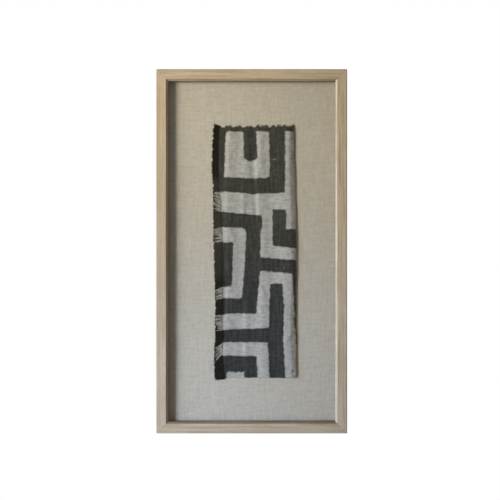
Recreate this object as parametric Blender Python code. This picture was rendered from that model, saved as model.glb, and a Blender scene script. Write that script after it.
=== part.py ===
"""Oak shadow-box frame with a strip of mud cloth inside.

The frame stands upright, seen from -Y, with its back in the plane y = 0, where it meets a wall.
The origin is the middle of the back. X runs across the frame and Z up it. Everything is in metres.

From front to back it holds a pane of glass, four spacer strips, a mount board covered in linen
with the cloth lying on it, and a back board. The cloth is one sheet with long soft folds. Its
frayed left and top edges are two narrow strips of their own, with the yarn ends fused to them.
"""

import math

import bmesh
import bpy
import numpy as np
from mathutils import Vector

MM = 0.001

# Frame
FRAME_WIDTH = 500 * MM
FRAME_HEIGHT = 955 * MM
FRAME_DEPTH = 34 * MM
FACE_WIDTH = 25 * MM
LIP_BEVEL = 5.5 * MM
LIP_LAND = 1.5 * MM
REBATE_WIDTH = 8 * MM
ARRIS_RADIUS = 2 * MM
ARRIS_STEPS = 4
SEAT_GAP = 0.3 * MM
MITRE_GAP = 0.3 * MM

# What lies in the rebate
GLASS_THICKNESS = 2 * MM
SPACER_THICKNESS = 6.5 * MM
MOUNT_THICKNESS = 5 * MM
BACK_THICKNESS = 3 * MM
PANE_CLEARANCE = 0.5 * MM

# Cloth
CLOTH_TOP = 325 * MM
CLOTH_BOTTOM = -334 * MM
CLOTH_THICKNESS = 1.6 * MM
CLOTH_COLUMNS = 42
CLOTH_ROWS = 34
CREASE_ANGLE = 50
LINEN_CLEARANCE = 0.3 * MM

# Frayed edges. A lock leaves its strip at the root, bends once and ends in a tip. Its widths and
# its bend are shares of the root's width and of the lock's length.
FRINGE_THICKNESS = 1.5 * MM
LEFT_FRINGE_TOP = 334 * MM
LEFT_FRINGE_BOTTOM = -338 * MM
LEFT_LOCKS = 112
LEFT_LENGTH_SPREAD = 2.2 * MM
TOP_LOCKS = 32
TOP_STRIP_HEIGHT = 3 * MM
TOP_TUFT_HEIGHT = 4.6 * MM
TUFT_SPACING = 12.6 * MM
TUFT_SPREAD = 0.4
ROOT_SHARE = 0.76
BEND_PLACE = 0.55
BEND_WIDTH = 0.8
TIP_WIDTH = 0.42
SAG_SHARE = 0.08
SLANT_SPREAD = 0.1
STRIP_FALL = 0.5
GOLDEN_TURN = 2.399
SLOW_TURN = 0.731
PHASES = {"length": 0.4, "slant": 1.7, "bunch": 2.2, "lean": 0.9}

# The cloth's outline in millimetres from the frame's middle, read smoothly between the rows:
# height, outer ends of the left yarns, where the left fringe meets the sheet, right selvedge, how
# far the yarns slant down for each millimetre they reach out, and the share of the fringe's width
# that is still closed. The yarns are loose beside the pale bands and felted beside the dark ones.
OUTLINE_COLUMNS = ("height", "yarn_ends", "left_edge", "selvedge", "slant", "closed")
OUTLINE = (
    (334, -103.5, -89.0, 112.4, 0.00, 0.75),
    (268, -106.0, -90.6, 114.4, 0.10, 0.80),
    (222, -107.4, -91.3, 115.6, 0.00, 0.80),
    (172, -105.2, -88.6, 114.6, 0.05, 0.80),
    (126, -104.2, -83.0, 114.0, -0.35, 0.35),
    (82, -104.4, -80.6, 115.0, 0.05, 0.80),
    (42, -104.0, -79.6, 115.6, 0.15, 0.40),
    (-30, -102.0, -76.4, 115.9, 0.10, 0.80),
    (-108, -99.6, -79.0, 115.6, 0.25, 0.35),
    (-150, -98.4, -78.0, 115.2, 0.10, 0.80),
    (-184, -100.2, -80.4, 115.4, 0.00, 0.30),
    (-224, -99.2, -76.0, 115.8, 0.35, 0.80),
    (-262, -102.0, -79.2, 115.8, 0.80, 0.35),
    (-338, -100.8, -74.6, 115.6, 0.50, 0.75),
)

# The long soft folds, in millimetres: place across at the cloth's top and at its bottom, how far
# the cloth stands off the linen along the crest, how wide the fold is to the left and to the right
# of its crest, and the heights between which it rises and dies away.
FOLD_COLUMNS = ("across_top", "across_bottom", "crest", "left", "right", "upper", "lower")
FOLDS = (
    (-60, -68, 3.1, 8.5, 18, 360, -360),
    (-15, -40, 2.2, 16, 11, 360, 50),
    (-21, -17, 1.6, 8, 8, -110, -360),
    (21, 31, 3.2, 12, 20, 360, -360),
    (95.5, 99.5, 8.6, 42, 14, 380, -380),
    (113, 113, 1.2, 8, 9, 90, -380),
)

# What makes the folds uneven, in millimetres too: how softly each one dies away, how far its crest
# wanders from side to side, a slow drift in its height, and the lift of the sheet's left edge.
FOLD_FADE = 11
WANDER_WIDTH = 2.5
WANDER_LENGTH = 446
DRIFT_HEIGHT = 0.5
DRIFT_LENGTH = 210
DRIFT_ACROSS = 377
EDGE_LIFT = 0.9
EDGE_PLACE = -92
EDGE_HALF_WIDTH = 16

OAK = (0.50, 0.40, 0.28)
OAK_SHADED = (0.36, 0.27, 0.18)
GLASS_TINT = (0.95, 0.97, 0.96)
LINEN = (0.47, 0.42, 0.32)
BOARD_BROWN = (0.30, 0.21, 0.13)
COTTON_PALE = (0.42, 0.41, 0.37)
COTTON_DARK = (0.035, 0.032, 0.026)


def clear_scene():
    """Remove whatever objects the scene starts with."""
    for item in list(bpy.data.objects):
        bpy.data.objects.remove(item, do_unlink=True)


def make_material(name, colour, roughness, transmission=0.0):
    """A Principled material of one colour."""
    made = bpy.data.materials.new(name)
    made.use_nodes = True
    shader = made.node_tree.nodes["Principled BSDF"]
    shader.inputs["Base Color"].default_value = (*colour, 1.0)
    shader.inputs["Roughness"].default_value = roughness
    shader.inputs["Metallic"].default_value = 0.0
    shader.inputs["Transmission Weight"].default_value = transmission
    return made


def add_object(name, mesh_data, finish):
    """Put a bmesh into the scene as one named object with one material."""
    bmesh.ops.recalc_face_normals(mesh_data, faces=mesh_data.faces)
    mesh = bpy.data.meshes.new(name)
    mesh_data.to_mesh(mesh)
    mesh_data.free()
    mesh.materials.append(finish)
    item = bpy.data.objects.new(name, mesh)
    bpy.context.scene.collection.objects.link(item)
    return item


def rail_section():
    """The rail's section as (distance in from the outer edge, y) points, going round.

    The outer front arris is a quarter-round, and the lip slopes back at 45 degrees from the flat
    face to a short land above the rebate that holds the glass.
    """
    front = -FRAME_DEPTH
    lip_back = front + LIP_BEVEL + LIP_LAND
    width = FACE_WIDTH + LIP_BEVEL
    section = []
    for step in range(ARRIS_STEPS + 1):
        turn = math.radians(90) * step / ARRIS_STEPS
        across = ARRIS_RADIUS * (1 - math.cos(turn))
        deep = front + ARRIS_RADIUS * (1 - math.sin(turn))
        section.append((across, deep))
    section.append((FACE_WIDTH, front))
    section.append((width, front + LIP_BEVEL))
    section.append((width, lip_back))
    section.append((width - REBATE_WIDTH, lip_back))
    section.append((width - REBATE_WIDTH, 0.0))
    section.append((0.0, 0.0))
    return section


def mitred_rail(name, length, finish):
    """A rail lying along X with its outer edge at z = 0, both ends cut back at 45 degrees.

    A section point that lies further in from the outer edge ends that much sooner.
    """
    shape = bmesh.new()
    setback = MITRE_GAP / 2 * math.sqrt(2)
    ends = []
    for side in (-1, 1):
        loop = []
        for inward, deep in rail_section():
            along = side * (length / 2 - inward - setback)
            loop.append(shape.verts.new((along, deep, inward)))
        ends.append(loop)
    count = len(ends[0])
    for i in range(count):
        j = (i + 1) % count
        shape.faces.new((ends[0][i], ends[0][j], ends[1][j], ends[1][i]))
    shape.faces.new(ends[0])
    shape.faces.new(ends[1])
    return add_object(name, shape, finish)


def add_rails(finish):
    """Four rails, each turned about Y so that its outer edge faces away from the middle."""
    places = (
        ("rail_bottom", FRAME_WIDTH, 0, (0, 0, -FRAME_HEIGHT / 2)),
        ("rail_top", FRAME_WIDTH, 180, (0, 0, FRAME_HEIGHT / 2)),
        ("rail_left", FRAME_HEIGHT, 90, (-FRAME_WIDTH / 2, 0, 0)),
        ("rail_right", FRAME_HEIGHT, -90, (FRAME_WIDTH / 2, 0, 0)),
    )
    for name, length, turn, place in places:
        rail = mitred_rail(name, length, finish)
        rail.rotation_euler = (0, math.radians(turn), 0)
        rail.location = place


def slab(name, size, place, finish):
    """A rectangular board of the given size whose middle is at the given place."""
    shape = bmesh.new()
    bmesh.ops.create_cube(shape, size=1.0)
    bmesh.ops.scale(shape, vec=size, verts=shape.verts)
    board = add_object(name, shape, finish)
    board.location = place
    return board


def rebate_levels():
    """The y of each layer's back and front, from the wall side forward."""
    back = (0.0, -BACK_THICKNESS)
    mount = (back[1] - SEAT_GAP, back[1] - SEAT_GAP - MOUNT_THICKNESS)
    lip_back = -FRAME_DEPTH + LIP_BEVEL + LIP_LAND
    glass = (lip_back + SEAT_GAP + GLASS_THICKNESS, lip_back + SEAT_GAP)
    spacer = (mount[1] - SEAT_GAP, glass[0] + SEAT_GAP)
    return {"back": back, "mount": mount, "spacer": spacer, "glass": glass}


def add_layers(finishes):
    """Glass, spacers, mount and back board, stacked in the rebate with their seat gaps."""
    levels = rebate_levels()
    hidden = FACE_WIDTH + LIP_BEVEL - REBATE_WIDTH
    inner_width = FRAME_WIDTH - 2 * (hidden + PANE_CLEARANCE)
    inner_height = FRAME_HEIGHT - 2 * (hidden + PANE_CLEARANCE)
    for name, level in (("back_board", "back"), ("linen_mount", "mount"), ("glass", "glass")):
        rear, front = levels[level]
        size = (inner_width, rear - front, inner_height)
        slab(name, size, (0, (rear + front) / 2, 0), finishes[name])
    rear, front = levels["spacer"]
    depth = rear - front
    middle = (rear + front) / 2
    across = (inner_width - SPACER_THICKNESS) / 2
    upward = (inner_height - SPACER_THICKNESS) / 2
    short = inner_width - 2 * (SPACER_THICKNESS + SEAT_GAP)
    tall_size = (SPACER_THICKNESS, depth, inner_height)
    short_size = (short, depth, SPACER_THICKNESS)
    slab("spacer_left", tall_size, (-across, middle, 0), finishes["spacer"])
    slab("spacer_right", tall_size, (across, middle, 0), finishes["spacer"])
    slab("spacer_bottom", short_size, (0, middle, -upward), finishes["spacer"])
    slab("spacer_top", short_size, (0, middle, upward), finishes["spacer"])


def smooth_between(x, xs, ys):
    """Read a table smoothly: between two rows the value eases as a cosine does."""
    order = np.argsort(xs)
    xs = np.asarray(xs, float)[order]
    ys = np.asarray(ys, float)[order]
    x = np.clip(np.asarray(x, float), xs[0], xs[-1])
    i = np.clip(np.searchsorted(xs, x, side="right") - 1, 0, len(xs) - 2)
    share = (x - xs[i]) / (xs[i + 1] - xs[i])
    eased = (1 - np.cos(np.pi * share)) / 2
    return ys[i] + (ys[i + 1] - ys[i]) * eased


def outline_at(z, column):
    """The outline's named column at height z, as the table gives it."""
    table = np.array(OUTLINE, float)
    place = OUTLINE_COLUMNS.index(column)
    return smooth_between(np.asarray(z) / MM, table[:, 0], table[:, place])


def fold_lift(x, z):
    """How far the cloth's back stands off the linen at (x, z), in metres.

    Each fold is a long bell-shaped ridge, steeper on one side, whose crest slants from its upper
    place to its lower one, and slow waves along the cloth keep the folds uneven.
    """
    x = np.asarray(x, float) / MM
    z = np.asarray(z, float) / MM
    down = (CLOTH_TOP / MM - z) / ((CLOTH_TOP - CLOTH_BOTTOM) / MM)
    turn = 2 * math.pi
    lift = np.zeros(np.broadcast(x, z).shape)
    for row in FOLDS:
        fold = dict(zip(FOLD_COLUMNS, row))
        middle = fold["across_top"] + (fold["across_bottom"] - fold["across_top"]) * down
        wander = WANDER_WIDTH * np.sin(turn * z / WANDER_LENGTH + fold["across_top"])
        beside = x - middle - wander
        bell = np.exp(-((beside / np.where(beside < 0, fold["left"], fold["right"])) ** 2))
        rise = 1 / (1 + np.exp((z - fold["upper"]) / FOLD_FADE))
        fall = 1 / (1 + np.exp((fold["lower"] - z) / FOLD_FADE))
        lift = lift + fold["crest"] * bell * rise * fall
    drift = DRIFT_HEIGHT * (1 + np.sin(turn * (z / DRIFT_LENGTH + x / DRIFT_ACROSS))) / 2
    left_rise = EDGE_LIFT * np.exp(-(((x - EDGE_PLACE) / EDGE_HALF_WIDTH) ** 2))
    return LINEN_CLEARANCE + (lift + drift * (lift / (1 + lift)) + left_rise) * MM


def sheet_grid():
    """The sheet's x, z and lift at each row and column of its grid, top row first."""
    heights = np.linspace(CLOTH_TOP, CLOTH_BOTTOM, CLOTH_ROWS + 1)
    left = outline_at(heights, "left_edge") * MM
    right = outline_at(heights, "selvedge") * MM
    share = np.linspace(0, 1, CLOTH_COLUMNS + 1)
    x = left[:, None] + (right - left)[:, None] * share[None, :]
    z = np.repeat(heights[:, None], CLOTH_COLUMNS + 1, axis=1)
    return x, z, fold_lift(x, z)


def linen_face():
    """The y of the linen's front."""
    return rebate_levels()["mount"][1]


def add_cloth(finish):
    """The sheet: a front and a back grid on the folds, closed by a rim."""
    x, z, lift = sheet_grid()
    rows, columns = x.shape
    shape = bmesh.new()
    layers = []
    for extra in (0.0, CLOTH_THICKNESS):
        y = linen_face() - lift - extra
        grid = []
        for i in range(rows):
            grid.append([shape.verts.new((x[i, j], y[i, j], z[i, j])) for j in range(columns)])
        layers.append(grid)
    for grid in layers:
        for i in range(rows - 1):
            for j in range(columns - 1):
                corners = (grid[i][j], grid[i][j + 1], grid[i + 1][j + 1], grid[i + 1][j])
                shape.faces.new(corners)
    back, front = layers
    rim = [(0, j) for j in range(columns)]
    rim += [(i, columns - 1) for i in range(1, rows)]
    rim += [(rows - 1, j) for j in range(columns - 2, -1, -1)]
    rim += [(i, 0) for i in range(rows - 2, 0, -1)]
    for here, there in zip(rim, rim[1:] + rim[:1]):
        a = back[here[0]][here[1]]
        b = back[there[0]][there[1]]
        c = front[there[0]][there[1]]
        d = front[here[0]][here[1]]
        shape.faces.new((a, b, c, d))
    sheet = add_object("mud_cloth", shape, finish)
    sheet.data.shade_smooth()
    sheet.data.set_sharp_from_angle(angle=math.radians(CREASE_ANGLE))


def uneven(i, what):
    """A repeatable number between -1 and 1 for lock i, with no pattern that the eye can follow."""
    phase = PHASES[what]
    return math.sin(i * GOLDEN_TURN + phase) * math.cos(i * SLOW_TURN + 2 * phase)


def stations_along(start, end, locks):
    """Where the strip is cut into stretches: a gap, then a root and a gap for each lock."""
    pitch = (end - start) / locks
    places = [start]
    for i in range(locks):
        middle = start + (i + 0.5) * pitch
        places.append(middle - pitch * ROOT_SHARE / 2)
        places.append(middle + pitch * ROOT_SHARE / 2)
    places.append(end)
    return np.array(places)


def fringe(name, inner, outer, locks, finish):
    """A narrow strip whose outer edge carries a tapering lock on every second stretch.

    inner and outer hold the strip's two edges as (x, y of the back, z) rows. A lock is pushed out
    of its root in lengths, each given as the way from the root to its end and the share of the
    width that it keeps there.
    """
    shape = bmesh.new()
    rings = []
    for near, far in zip(inner, outer):
        ring = []
        for (x, y, z), extra in ((near, 0), (far, 0), (far, 1), (near, 1)):
            ring.append(shape.verts.new((x, y - extra * FRINGE_THICKNESS, z)))
        rings.append(ring)
    outer_faces = []
    for first, second in zip(rings, rings[1:]):
        for side in range(4):
            after = (side + 1) % 4
            face = shape.faces.new((first[side], first[after], second[after], second[side]))
            if side == 1:
                outer_faces.append(face)
    shape.faces.new(rings[0])
    shape.faces.new(rings[-1])
    bmesh.ops.recalc_face_normals(shape, faces=shape.faces)
    for face, lengths in zip(outer_faces[1::2], locks):
        root = face.calc_center_median()
        for reach, keep in lengths:
            face = bmesh.ops.extrude_discrete_faces(shape, faces=[face])["faces"][0]
            middle = face.calc_center_median()
            for corner in face.verts:
                corner.co = root + Vector(reach) + (corner.co - middle) * keep
    return add_object(name, shape, finish)


def lock_lengths(reach, lift_change):
    """A lock's bend and tip: it narrows twice, and comes nearer to the linen as it goes out."""
    away = Vector(reach)
    bend = away * BEND_PLACE + Vector((0, lift_change * BEND_PLACE, 0))
    bend.z += abs(away.x) * SAG_SHARE
    tip = away + Vector((0, lift_change, 0))
    return ((bend, BEND_WIDTH), (tip, TIP_WIDTH / BEND_WIDTH))


def add_left_fringe(finish):
    """The frayed left edge: a strip beside the sheet, its locks long where the yarns are loose."""
    sheet_x, sheet_z, sheet_lift = sheet_grid()
    z = stations_along(LEFT_FRINGE_TOP, LEFT_FRINGE_BOTTOM, LEFT_LOCKS)
    edge_x = np.interp(z, sheet_z[::-1, 0], sheet_x[::-1, 0])
    lift = np.interp(z, sheet_z[::-1, 0], sheet_lift[::-1, 0])
    inner_x = edge_x - SEAT_GAP
    width = (outline_at(z, "left_edge") - outline_at(z, "yarn_ends")) * MM
    closed = outline_at(z, "closed")
    slant = outline_at(z, "slant")
    outer_x = inner_x - width * closed
    outer_lift = LINEN_CLEARANCE + (lift - LINEN_CLEARANCE) * STRIP_FALL
    inner = np.stack([inner_x, linen_face() - lift, z], axis=1)
    outer = np.stack([outer_x, linen_face() - outer_lift, z], axis=1)
    locks = []
    for i in range(LEFT_LOCKS):
        place = 1 + 2 * i
        length = width[place] * (1 - closed[place]) + LEFT_LENGTH_SPREAD * uneven(i, "length")
        slope = slant[place] + SLANT_SPREAD * uneven(i, "slant")
        lower = (outer_lift[place] - LINEN_CLEARANCE) * (1 - STRIP_FALL)
        locks.append(lock_lengths((-length, 0, -length * slope), lower))
    fringe("fringe_left", inner, outer, locks, finish)


def add_top_fringe(finish):
    """The frayed top edge: a low strip above the sheet, its locks bunched into tufts."""
    sheet_x, sheet_z, sheet_lift = sheet_grid()
    x = stations_along(sheet_x[0, 0], sheet_x[0, -1], TOP_LOCKS)
    lift = np.interp(x, sheet_x[0], sheet_lift[0])
    inner_z = np.full_like(x, CLOTH_TOP + SEAT_GAP)
    outer_z = inner_z + TOP_STRIP_HEIGHT
    inner = np.stack([x, linen_face() - lift, inner_z], axis=1)
    outer = np.stack([x, linen_face() - lift, outer_z], axis=1)
    locks = []
    for i in range(TOP_LOCKS):
        place = 1 + 2 * i
        bunch = math.sin(2 * math.pi * x[place] / TUFT_SPACING + uneven(i, "bunch") / 2)
        height = TOP_TUFT_HEIGHT * (1 + TUFT_SPREAD * bunch)
        lean = height * SLANT_SPREAD * uneven(i, "lean")
        lower = (lift[place] - LINEN_CLEARANCE) * (1 - STRIP_FALL)
        locks.append(lock_lengths((lean, 0, height), lower))
    fringe("fringe_top", inner, outer, locks, finish)


def main():
    clear_scene()
    finishes = {
        "rail": make_material("oak", OAK, 0.6),
        "spacer": make_material("oak_shaded", OAK_SHADED, 0.65),
        "glass": make_material("glass", GLASS_TINT, 0.02, transmission=1.0),
        "linen_mount": make_material("linen", LINEN, 0.9),
        "back_board": make_material("board_brown", BOARD_BROWN, 0.85),
        "mud_cloth": make_material("cotton_pale", COTTON_PALE, 0.95),
        "fringe": make_material("cotton_dark", COTTON_DARK, 0.95),
    }
    add_rails(finishes["rail"])
    add_layers(finishes)
    add_cloth(finishes["mud_cloth"])
    add_left_fringe(finishes["fringe"])
    add_top_fringe(finishes["fringe"])


main()
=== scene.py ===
# %% [markdown]
# # A framed mud cloth
#
# Mud cloth is a strip of handwoven cotton, painted with broad dark bars. Here it lies on linen
# behind the glass of a deep oak frame. The construction is already solved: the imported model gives
# the rails, glass, spacers and boards as solids. This lesson dresses them. It weaves the cloth,
# frays its edges yarn by yarn, and gives wood, linen and glass a surface worked out from formulas.

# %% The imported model
import math

import bpy
import numpy as np
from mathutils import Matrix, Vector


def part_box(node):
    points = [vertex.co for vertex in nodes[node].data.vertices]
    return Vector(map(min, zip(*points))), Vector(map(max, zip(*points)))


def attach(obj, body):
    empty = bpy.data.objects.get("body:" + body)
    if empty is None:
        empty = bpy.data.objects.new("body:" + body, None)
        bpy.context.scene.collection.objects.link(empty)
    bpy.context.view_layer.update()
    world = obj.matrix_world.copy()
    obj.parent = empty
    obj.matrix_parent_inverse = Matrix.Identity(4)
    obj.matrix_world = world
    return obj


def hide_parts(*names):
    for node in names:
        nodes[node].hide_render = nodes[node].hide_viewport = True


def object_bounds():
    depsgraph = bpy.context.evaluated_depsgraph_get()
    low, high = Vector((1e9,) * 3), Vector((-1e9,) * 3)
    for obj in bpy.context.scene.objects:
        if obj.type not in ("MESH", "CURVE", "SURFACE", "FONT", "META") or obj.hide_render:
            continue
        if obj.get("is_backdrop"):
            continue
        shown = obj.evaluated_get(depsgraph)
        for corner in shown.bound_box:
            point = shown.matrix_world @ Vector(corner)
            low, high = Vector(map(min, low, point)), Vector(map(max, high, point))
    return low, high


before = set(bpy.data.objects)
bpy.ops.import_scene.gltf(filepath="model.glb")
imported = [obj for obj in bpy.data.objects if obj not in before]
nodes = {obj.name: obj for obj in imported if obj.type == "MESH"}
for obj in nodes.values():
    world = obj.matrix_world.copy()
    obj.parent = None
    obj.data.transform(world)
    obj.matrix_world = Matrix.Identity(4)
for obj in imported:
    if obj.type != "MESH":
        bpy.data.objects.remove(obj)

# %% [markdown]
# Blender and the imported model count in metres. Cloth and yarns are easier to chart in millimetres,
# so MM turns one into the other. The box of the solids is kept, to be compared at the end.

MM = 0.001
cad_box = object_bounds()
lowest, highest = ([round(v, 4) for v in corner] for corner in cad_box)
print("solids:", len(nodes), "from", lowest, "to", highest)

# %% [markdown]
# ## The camera
#
# The frame was photographed square on, but from a little to its right: its left inner wall shows
# and its right one does not. Turning the camera would make the rails converge, so the camera
# looks straight ahead and the sensor is shifted instead, as a view camera's back is. At 2.6 m one
# pixel of the 500 covers 2.62 mm on the front of the frame.

# %% A camera with a shifted sensor
PICTURE_SIZE = 500
PIXEL = 2.62 * MM
FRAME_MIDDLE_PIXEL = (251.65, 251.25)
CAMERA_DISTANCE = 2.6
CAMERA_RIGHT = 0.262
SENSOR_WIDTH = 36.0

axis_pixel = FRAME_MIDDLE_PIXEL[0] + CAMERA_RIGHT / PIXEL
camera_data = bpy.data.cameras.new("camera")
camera_data.sensor_width = SENSOR_WIDTH
camera_data.lens = SENSOR_WIDTH * CAMERA_DISTANCE / (PICTURE_SIZE * PIXEL)
camera_data.shift_x = (PICTURE_SIZE / 2 - axis_pixel) / PICTURE_SIZE
camera_data.shift_y = (FRAME_MIDDLE_PIXEL[1] - PICTURE_SIZE / 2) / PICTURE_SIZE
camera = bpy.data.objects.new("camera", camera_data)
bpy.context.scene.collection.objects.link(camera)
camera.location = (CAMERA_RIGHT, cad_box[0].y - CAMERA_DISTANCE, 0.0)
camera.rotation_euler = (math.radians(90), 0.0, 0.0)
bpy.context.scene.camera = camera
print("lens", round(camera_data.lens, 1), "mm, shift", round(camera_data.shift_x, 4),
      round(camera_data.shift_y, 4))

# %% [markdown]
# ## Meshes from arrays
#
# Every new piece below is a table of points and a table of four-cornered faces, both worked out
# with numpy. Blender takes such tables whole, with foreach_set, which is quicker than adding one
# vertex after another and keeps the formula in sight.

# %% From arrays to an object
def new_object(name, points, quads, finish):
    """A mesh object from points (n x 3, in millimetres) and quads (m x 4 corner numbers)."""
    mesh = bpy.data.meshes.new(name)
    mesh.vertices.add(len(points))
    mesh.vertices.foreach_set("co", np.asarray(points * MM, np.float32).ravel())
    mesh.loops.add(quads.size)
    mesh.loops.foreach_set("vertex_index", np.asarray(quads, np.int32).ravel())
    mesh.polygons.add(len(quads))
    mesh.polygons.foreach_set("loop_start", np.arange(0, quads.size, 4, dtype=np.int32))
    mesh.update(calc_edges=True)
    mesh.shade_smooth()
    mesh.materials.append(finish)
    made = bpy.data.objects.new(name, mesh)
    bpy.context.scene.collection.objects.link(made)
    return made


def new_piece(name, points, quads, finish):
    """A new object that belongs to the part: it rides on the body and has a material slot."""
    piece = new_object(name, points, quads, finish)
    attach(piece, "root")
    print(name, "has", len(points), "points and", 2 * len(quads), "triangles")
    return piece


def store(piece, name, values):
    """Keep one number for each point in an attribute that a material can read."""
    kept = piece.data.attributes.new(name, "FLOAT", "POINT")
    kept.data.foreach_set("value", np.asarray(values, np.float32).ravel())


def store_map(piece, name, places):
    """Keep a place on a flat map for each corner of each face."""
    layer = piece.data.uv_layers.new(name=name)
    layer.uv.foreach_set("vector", np.asarray(places, np.float32).ravel())


def grid_quads(rows, columns):
    """The corner numbers of a rows x columns grid of points, each quad going round one way."""
    number = np.arange(rows * columns).reshape(rows, columns)
    corners = (number[:-1, :-1], number[:-1, 1:], number[1:, 1:], number[1:, :-1])
    return np.stack([c.ravel() for c in corners], axis=1)


print("a grid of 3 x 4 points has", len(grid_quads(3, 4)), "quads")

# %% [markdown]
# ## The shape of the cloth
#
# The strip is not a rectangle. Its left edge bows, its right edge is the selvedge, and long soft
# folds run down it, the widest along the selvedge, where the cloth rolls towards the linen. The
# rows below are nearly those of the solid, so the fine sheet lies in the solid's place. A value
# between two rows of the outline is read with an ease, as a cosine runs, so no row shows as a
# corner. A fold's phase says where along its length it wanders left and right.

# %% Outline and folds, in millimetres
def named(columns, rows):
    """A table's rows as dictionaries, so that each value goes by its column's name."""
    return [dict(zip(columns, row)) for row in rows]


CLOTH_TOP = 325
CLOTH_BOTTOM = -334
OUTLINE_COLUMNS = ("height", "yarn_ends", "left_edge", "selvedge", "slant")
OUTLINE = (
    (334, -104.0, -89.0, 109.6, -0.20),
    (268, -106.8, -90.6, 110.8, 0.10),
    (222, -108.0, -91.3, 112.2, 0.00),
    (172, -105.2, -88.6, 113.8, 0.05),
    (126, -104.2, -83.0, 114.0, -0.35),
    (82, -104.4, -80.6, 115.0, 0.05),
    (42, -104.0, -79.6, 115.6, 0.15),
    (-30, -102.0, -76.4, 115.9, 0.10),
    (-108, -99.6, -79.0, 115.6, 0.25),
    (-150, -98.4, -78.0, 115.2, 0.10),
    (-184, -100.2, -80.4, 115.4, 0.00),
    (-224, -99.2, -76.0, 115.8, 0.35),
    (-262, -102.0, -79.2, 115.8, 0.80),
    (-338, -100.8, -74.6, 115.6, 0.10),
)
FOLDS = named(("across_top", "across_bottom", "crest", "left", "right", "upper", "lower", "phase"), (
    (-60, -68, 3.1, 8.5, 18, 360, -360, -60),
    (-15, -40, 2.2, 16, 11, 360, 50, -15),
    (-21, -17, 1.6, 8, 8, -110, -360, -21),
    (21, 31, 3.2, 12, 20, 360, -360, 21),
    (97.6, 101.6, 8.6, 42, 12.5, 380, -380, 95.5),
    (113, 113, 1.2, 8, 9, 90, -380, 113),
))
FOLD_FADE = 11
WANDER_WIDTH, WANDER_LENGTH = 2.5, 446
DRIFT_HEIGHT, DRIFT_LENGTH, DRIFT_ACROSS = 0.5, 210, 377
EDGE_LIFT, EDGE_PLACE, EDGE_HALF_WIDTH = 0.9, -92, 16
LINEN_CLEARANCE = 0.3
TURN = 2 * math.pi


def outline_at(z, column):
    """The outline's named column at height z: between two rows the value eases as a cosine does."""
    table = np.array(OUTLINE)[::-1]
    heights, values = table[:, 0], table[:, OUTLINE_COLUMNS.index(column)]
    z = np.clip(z, heights[0], heights[-1])
    row = np.clip(np.searchsorted(heights, z, side="right") - 1, 0, len(heights) - 2)
    share = (z - heights[row]) / (heights[row + 1] - heights[row])
    return values[row] + (values[row + 1] - values[row]) * (1 - np.cos(np.pi * share)) / 2


def fade(value):
    """1 where the value is well below nought, a half at nought, and 0 well above it."""
    return np.exp(-np.logaddexp(0, value))


def fold_lift(x, z):
    """How far the cloth's back stands off the linen: a sum of long ridges, each a bell across,
    exp(-(distance / width)^2), round a crest that wanders as a sine does."""
    down = (CLOTH_TOP - z) / (CLOTH_TOP - CLOTH_BOTTOM)
    lift = np.zeros(np.broadcast(x, z).shape)
    for fold in FOLDS:
        middle = fold["across_top"] + (fold["across_bottom"] - fold["across_top"]) * down
        beside = x - middle - WANDER_WIDTH * np.sin(TURN * z / WANDER_LENGTH + fold["phase"])
        bell = np.exp(-((beside / np.where(beside < 0, fold["left"], fold["right"])) ** 2))
        ends = fade((z - fold["upper"]) / FOLD_FADE) * fade((fold["lower"] - z) / FOLD_FADE)
        lift = lift + fold["crest"] * bell * ends
    drift = DRIFT_HEIGHT * (1 + np.sin(TURN * (z / DRIFT_LENGTH + x / DRIFT_ACROSS))) / 2
    left_rise = EDGE_LIFT * np.exp(-(((x - EDGE_PLACE) / EDGE_HALF_WIDTH) ** 2))
    return LINEN_CLEARANCE + lift + drift * lift / (1 + lift) + left_rise


edges = [[round(float(outline_at(z, side)), 1) for side in ("left_edge", "selvedge")]
         for z in (300, 0, -300)]
print("left edge and selvedge at the top, middle and foot:", edges)

# %% [markdown]
# On those folds lie creases that are too fine for the solid. Each is a soft ridge, or a trough
# where its height is below nought, along a line from one place on the cloth to another. Slow
# ripples, a few tenths of a millimetre high, keep the flats from looking ironed.

# %% Fine creases and ripples
LINE_COLUMNS = ("from_x", "from_z", "to_x", "to_z")
CREASES = named(LINE_COLUMNS + ("height", "width"), (
    (6, 420, 6, -420, 1.2, 24),
    (1.5, 252, 8, 84, -2.4, 6),
    (-44, 420, -44, 60, 0.7, 9),
    (-62, -60, -67, -460, -1.5, 13),
    (-27, -90, -25, -420, -0.5, 7),
    (13, 230, 15, 90, 0.5, 6),
    (35, -10, 33, -110, -0.6, 5),
    (-43, -215, -42, -300, 0.8, 8),
    (-20, -180, -22, -290, 0.6, 5),
    (52, -66, 40, -150, -0.5, 5),
    (34, -70, 47, -105, 0.4, 6),
    (8, -172, 48, -196, -0.5, 5),
    (-66, 300, -62, 205, 0.8, 7),
    (-30, 300, -36, 190, 0.6, 6),
    (-56, 55, -40, -20, 0.7, 6),
    (-26, 205, -24, 85, 1.0, 5),
    (22, -60, 44, -134, -0.8, 6),
    (81, -52, 80, -84, 0.5, 4),
    (32, 75, 30, -20, 0.9, 12),
    (86, -244, 106, -210, 1.0, 4),
    (85, -90, 86, -400, 1.2, 11),
    (70, 150, 100, 118, 0.5, 7),
    (-40, 0, -48, -80, 0.5, 6),
    (-50, -262, 0, -246, 0.35, 5),
    (20, 320, 28, 200, 0.5, 7),
))
CREASE_FULL = (0.2, 0.8)
CREASE_FADE = 0.16
RIPPLES = named(("height", "across", "along", "phase"), (
    (0.16, 41, 83, 0.4), (0.12, -23, 57, 2.1), (0.10, 67, -31, 4.0), (0.06, 17, 29, 1.3)))
TOUCH_SOFTNESS = 0.2


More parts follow.
